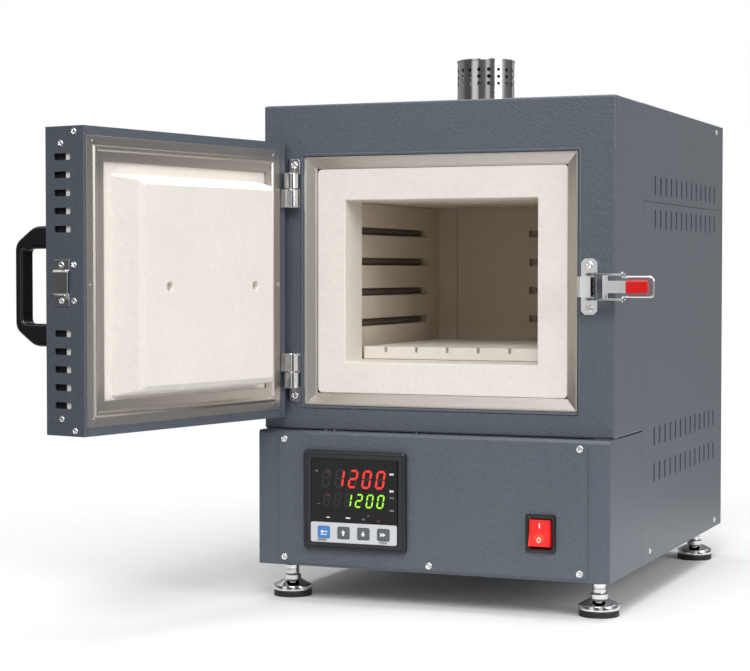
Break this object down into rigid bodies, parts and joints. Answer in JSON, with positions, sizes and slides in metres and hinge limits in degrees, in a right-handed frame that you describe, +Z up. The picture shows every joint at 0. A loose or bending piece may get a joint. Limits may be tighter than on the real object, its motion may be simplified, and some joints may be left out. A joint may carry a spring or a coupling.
{
  "type": "muffle furnace",
  "caption": "Bench-top box furnace with a side-hinged door on a ceramic chamber, a temperature controller and a lit rocker below, toggle latch, vent cap and levelling feet.",
  "frame": {"origin": "middle of the footprint with the door open as in the picture, on the floor under the feet", "axes": "+Z up, -Y towards the user in front of the door, +X to the right of the user"},
  "size_m": [0.5188, 0.7542, 0.537],
  "materials": {
    "cabinet_paint": "fine textured powder coat",
    "inner_sheet": "plain zinc-coated sheet",
    "stainless": "brushed along the strip",
    "bright_steel": "polished",
    "ceramic": "fine porous board",
    "fibre": "soft fibre blanket",
    "coil": "oxidised heating wire",
    "black_plastic": "smooth",
    "dark_plastic": "satin",
    "display": "tinted window",
    "silver_plastic": "metallic",
    "blue_key": "smooth",
    "grey_key": "smooth",
    "lit_red": "lit from within",
    "grip_red": "smooth",
    "rubber": "matte",
    "aluminium": "extruded"
  },
  "bodies": {
    "cabinet": {"front_shell": "cabinet_paint", "control_housing": "cabinet_paint", "front_panel": "cabinet_paint", "top_cover": "cabinet_paint", "rear_panel": "cabinet_paint", "base_plate": "inner_sheet", "inner_frame": "inner_sheet", "opening_trim": "stainless", "mouth_block": "ceramic", "chamber_wall_left": "ceramic", "chamber_wall_right": "ceramic", "chamber_roof": "ceramic", "chamber_floor": "ceramic", "chamber_back": "ceramic", "fibre_lining": "fibre", "inner_casing": "inner_sheet", "hearth_plate": "ceramic", "heating_coils": "coil", "element_terminals": "ceramic", "thermocouple": "stainless", "flue_tube": "ceramic", "flue_cap": "bright_steel", "mains_inlet": "black_plastic", "hinge_frame_leaves": "bright_steel", "latch_base": "bright_steel", "cabinet_screws": "bright_steel", "side_panel_left": "cabinet_paint", "side_panel_right": "cabinet_paint", "controller_bezel": "dark_plastic", "controller_case": "dark_plastic", "display_window": "display", "key_strip": "silver_plastic", "switch_housing": "black_plastic", "heat_sink": "aluminium", "solid_state_relay": "dark_plastic"},
    "door": {"hinge_door_leaves": "bright_steel", "door_tray": "cabinet_paint", "door_inner_frame": "stainless", "door_slab": "ceramic", "door_insulation": "fibre", "door_plug": "ceramic", "door_handle": "black_plastic", "door_strike": "bright_steel", "door_screws": "bright_steel"},
    "latch_lever": {"latch_lever": "bright_steel", "latch_grip": "grip_red"},
    "latch_bail": {"latch_bail": "bright_steel"},
    "key_set": {"key_set": "blue_key"},
    "key_up": {"key_up": "grey_key"},
    "key_down": {"key_down": "grey_key"},
    "key_shift": {"key_shift": "grey_key"},
    "rocker": {"switch_rocker": "lit_red"},
    "foot_front_left": {"foot_front_left": "bright_steel", "pad_front_left": "rubber"},
    "foot_front_right": {"foot_front_right": "bright_steel", "pad_front_right": "rubber"},
    "foot_rear_left": {"foot_rear_left": "bright_steel", "pad_rear_left": "rubber"},
    "foot_rear_right": {"foot_rear_right": "bright_steel", "pad_rear_right": "rubber"}
  },
  "joints": [
    {"name": "door_hinge", "type": "hinge", "parent": "cabinet", "child": "door", "pos_m": [-0.10582, -0.09793, 0.314], "axis": [0, 0, 1], "range_deg": [0, 102]},
    {"name": "latch_lever_pivot", "type": "hinge", "parent": "cabinet", "child": "latch_lever", "pos_m": [0.19568, -0.10093, 0.3085], "axis": [0, 0, 1], "range_deg": [-85, 0]},
    {"name": "latch_bail_pivot", "type": "hinge", "parent": "latch_lever", "child": "latch_bail", "pos_m": [0.22918, -0.10843, 0.3085], "axis": [0, 0, 1], "range_deg": [-25, 60]},
    {"name": "rocker_pivot", "type": "hinge", "parent": "cabinet", "child": "rocker", "pos_m": [0.15158, -0.10293, 0.0794], "axis": [1, 0, 0], "range_deg": [0, 18]},
    {"name": "key_set_press", "type": "slide", "parent": "cabinet", "child": "key_set", "axis": [0, 1, 0], "range_m": [0, 0.0008], "stiffness_N_per_m": 400},
    {"name": "key_up_press", "type": "slide", "parent": "cabinet", "child": "key_up", "axis": [0, 1, 0], "range_m": [0, 0.0008], "stiffness_N_per_m": 400},
    {"name": "key_down_press", "type": "slide", "parent": "cabinet", "child": "key_down", "axis": [0, 1, 0], "range_m": [0, 0.0008], "stiffness_N_per_m": 400},
    {"name": "key_shift_press", "type": "slide", "parent": "cabinet", "child": "key_shift", "axis": [0, 1, 0], "range_m": [0, 0.0008], "stiffness_N_per_m": 400},
    {"name": "foot_front_left_turn", "type": "hinge", "parent": "cabinet", "child": "foot_front_left", "pos_m": [-0.11852, -0.06653, 0.02], "axis": [0, 0, 1], "continuous": true},
    {"name": "foot_front_right_turn", "type": "hinge", "parent": "cabinet", "child": "foot_front_right", "pos_m": [0.19688, -0.06653, 0.02], "axis": [0, 0, 1], "continuous": true},
    {"name": "foot_rear_left_turn", "type": "hinge", "parent": "cabinet", "child": "foot_rear_left", "pos_m": [-0.11852, 0.32747, 0.02], "axis": [0, 0, 1], "continuous": true},
    {"name": "foot_rear_right_turn", "type": "hinge", "parent": "cabinet", "child": "foot_rear_right", "pos_m": [0.19688, 0.32747, 0.02], "axis": [0, 0, 1], "continuous": true}
  ]
}
